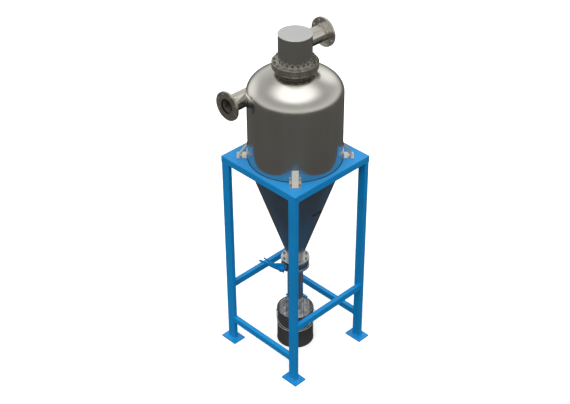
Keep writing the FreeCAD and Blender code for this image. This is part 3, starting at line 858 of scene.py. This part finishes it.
def screw(bm, at, way, radius, height):
    # A button head with a hexagon socket.
    socket = radius * 0.45
    profile = [(socket, height * 0.35), (socket, height * 0.85), (socket * 1.15, height)]
    profile += [(radius * math.sin(t), height * (0.35 + 0.65 * math.cos(t)))
                for t in (math.radians(35), math.radians(60), math.radians(90))]
    profile += [(radius, 0), (0.0001, 0), (0.0001, height * 0.35)]
    lathe(bm, profile, at, way, 24)


def valve_details():
    # Three screws on the valve's pad, and the fasteners that turn with the lever.
    fixed, moving = bmesh.new(), bmesh.new()
    out = -ALONG_Y
    z = middle_and_half("valve_body")[0].z
    pad_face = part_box("notch_plate")[1].y
    for x, up in ((SCREW_AT, SCREW_AT), (-SCREW_AT, SCREW_AT), (SCREW_AT, -SCREW_AT)):
        screw(fixed, (x, pad_face, z + up), out, *PAD_SCREW)
    finish_piece("pad_screws", fixed, bolt_steel, crease=30)
    # A washer and a thin locknut hold the lever's hub on the stem.
    hub_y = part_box("valve_stem")[0].y + STEM_PROUD
    washer(moving, (0, hub_y, z), out, *HUB_WASHER)
    hexagon(moving, (0, hub_y - HUB_WASHER[2], z), out, *HUB_NUT, UP, True)
    # Heads of the latch's pin, above and below its ears.
    for way in (1, -1):
        screw(moving, (LATCH_PIN[0], LATCH_PIN[1], z + way * PIN_HALF), UP * way, *PIN_HEAD)
    finish_piece("lever_fasteners", moving, lever_blue, "lever", crease=30)


def pail_details():
    # Lap seam, bottom chime and the rivets of the bail's ears.
    bm, rivets = bmesh.new(), bmesh.new()
    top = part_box("pail_body")[1].z
    chime = [(PAIL_OUTER - SUNK, 0.0005), (PAIL_OUTER + 0.0022, 0.0005), (PAIL_OUTER + 0.003, 0.002),
             (PAIL_OUTER + 0.003, 0.005), (PAIL_OUTER + 0.0022, CHIME_H), (PAIL_OUTER - SUNK, CHIME_H)]
    lathe(bm, chime, (0, 0, 0), UP, 96)
    seam = math.radians(SEAM_AT)
    # The seam's section: how far outside the wall, and how far round from its middle.
    section = [(-SUNK, -0.03), (0.0006, -0.027), (0.0012, -0.02),
               (0.0012, 0.024), (0.0008, 0.028), (-SUNK, 0.028)]
    rings = []
    for z in (CHIME_H + SEAM_GAP, top - SEAM_DROP):
        rings.append([Vector(((PAIL_OUTER + proud) * math.cos(seam + t),
                              (PAIL_OUTER + proud) * math.sin(seam + t), z)) for proud, t in section])
    skin(bm, rings, True, False)
    finish_piece("pail_trim", bm, pail_sheet)
    for angle in (45, 225):
        out, side = outwards(angle)
        for s in (-1, 1):
            at = out * (PAIL_OUTER + RIVET_SEAT) + side * (RIVET_SIDE * s) + UP * (top - RIVET_DROP)
            screw(rivets, at, out, *RIVET_HEAD)
    finish_piece("pail_rivets", rivets, pail_sheet, crease=30)


def rail_caps():
    # Plates that close the open ends of the long top rails.
    bm = bmesh.new()
    for name in ("front", "rear"):
        mid, half = middle_and_half("top_rail_" + name)
        for s in (-1, 1):
            end = mid.x + s * (half.x - CAP_INSET)
            outline = loop_points((0, mid.y, mid.z), half.y - CAP_MARGIN, half.z - CAP_MARGIN,
                                  ALONG_Y, UP, corner=0.002, step=0.004)
            rings = [[Vector((end - s * CAP_DEPTH, p.y, p.z)) for p in outline],
                     [Vector((end - s * CAP_EDGE, p.y, p.z)) for p in outline],
                     [Vector((end, mid.y + (p.y - mid.y) * CAP_FACE[0],
                              mid.z + (p.z - mid.z) * CAP_FACE[1])) for p in outline]]
            skin(bm, rings, True, False)
    finish_piece("rail_end_caps", bm, blue)


studio()
flange_bolts("top_flange", TOP_STUDS, top_pcd_r, TOP_STUD,
             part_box("neck_flange")[0].z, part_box("chamber_flange")[1].z)
flange_bolts("valve_flange", VALVE_STUDS, pcd_r, VALVE_STUD,
             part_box("lower_flange")[0].z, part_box("cone_flange")[1].z)
gasket("top_gasket", top_flange_r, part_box("chamber_flange")[0].z)
lug_bolts()
vessel_welds()
frame_welds()
lug_welds()
lid_edge()
cone_slot()
deck_seal()
valve_details()
pail_details()
rail_caps()
